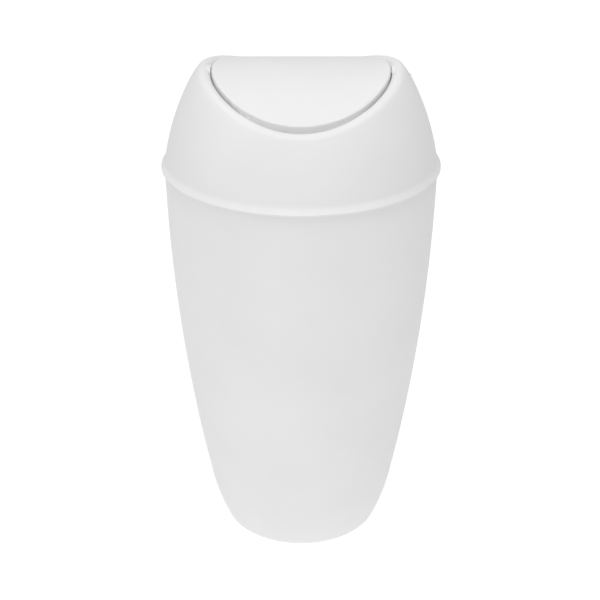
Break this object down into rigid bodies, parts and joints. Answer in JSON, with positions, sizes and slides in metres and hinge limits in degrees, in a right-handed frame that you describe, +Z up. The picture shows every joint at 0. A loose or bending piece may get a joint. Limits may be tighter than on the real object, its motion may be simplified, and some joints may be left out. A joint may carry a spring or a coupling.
{
  "type": "countertop trash can with swing lid",
  "caption": "Small round bulging bin with a lift-off domed lid and an arched flap that swings both ways on stub pins.",
  "frame": {"origin": "on the table, under the middle of the round base", "axes": "+Z up, front at -Y, +X to the right seen from the front; the flap's hinge axis is along X"},
  "size_m": [0.14, 0.14, 0.2545],
  "materials": {
    "white_plastic": "white moulded plastic, fine satin texture"
  },
  "bodies": {
    "bin": {"bin_body": "white_plastic"},
    "lid": {"lid_dome": "white_plastic"},
    "flap": {"swing_flap": "white_plastic"}
  },
  "joints": [
    {"name": "lid_lift", "type": "slide", "parent": "bin", "child": "lid", "axis": [0, 0, 1], "range_m": [0, 0.04]},
    {"name": "flap_swing", "type": "hinge", "parent": "lid", "child": "flap", "pos_m": [0, 0, 0.2503], "axis": [1, 0, 0], "range_deg": [-90, 90]}
  ]
}
